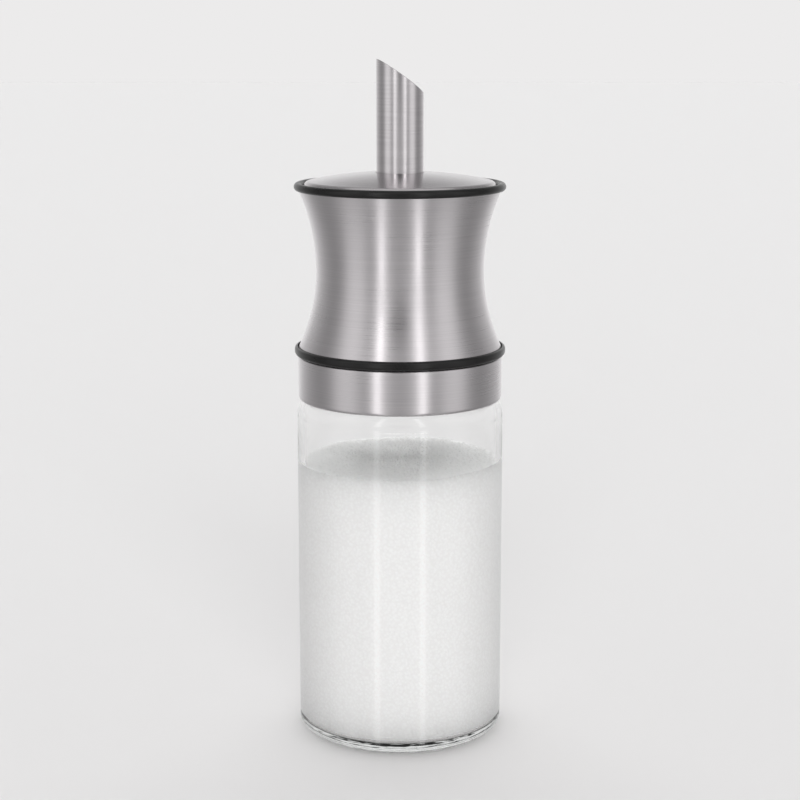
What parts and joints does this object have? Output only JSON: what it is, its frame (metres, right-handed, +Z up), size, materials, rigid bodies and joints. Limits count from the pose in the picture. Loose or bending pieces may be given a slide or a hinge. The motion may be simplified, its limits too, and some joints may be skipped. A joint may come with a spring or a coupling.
{
  "type": "sugar dispenser",
  "caption": "Table sugar dispenser: glass jar, waisted steel lid that screws off, slanted pouring tube and an inner dosing cup.",
  "frame": {"origin": "centre of the jar's flat foot, on the surface that it stands on", "axes": "+Z up along the jar's axis, which is also the lid's screw axis; the pouring tube's high tip lies towards -X and its slanted cut faces +X"},
  "size_m": [0.055, 0.055, 0.177],
  "materials": {
    "clear_glass": "clear soda-lime glass, fire polished",
    "silicone": "translucent silicone, matt",
    "black_abs": "moulded ABS, fine matt",
    "brushed_steel": "stainless steel, brushed round the body",
    "satin_steel": "stainless steel, satin polish",
    "polished_steel": "stainless steel tube, bright polish",
    "black_rubber": "black rubber, smooth and slightly glossy"
  },
  "bodies": {
    "jar": {"glass_jar": "clear_glass", "glass_rim_seal": "silicone", "neck_ring": "black_abs", "collar_band": "brushed_steel"},
    "gasket": {"lid_gasket": "black_rubber"},
    "lid": {"thread_plug": "black_abs", "lid_shell": "brushed_steel", "lid_liner": "black_abs", "top_trim_ring": "black_rubber", "top_plate": "satin_steel", "pour_tube": "polished_steel", "tube_seal": "silicone", "tube_retainer": "satin_steel"},
    "cup": {"dosing_cup": "black_abs"}
  },
  "joints": [
    {"name": "lid_rise", "type": "slide", "parent": "jar", "child": "gasket", "axis": [0, 0, 1], "range_m": [0, 0.0076]},
    {"name": "lid_turn", "type": "hinge", "parent": "gasket", "child": "lid", "pos_m": [0, 0, 0.1033], "axis": [0, 0, 1], "range_deg": [0, 900]},
    {"name": "dose_adjust", "type": "slide", "parent": "lid", "child": "cup", "axis": [0, 0, -1], "range_m": [0, 0.005]}
  ],
  "couplings": [
    {"joint": "lid_rise", "follows": "lid_turn", "m_per_rad": 0.00047746}
  ]
}
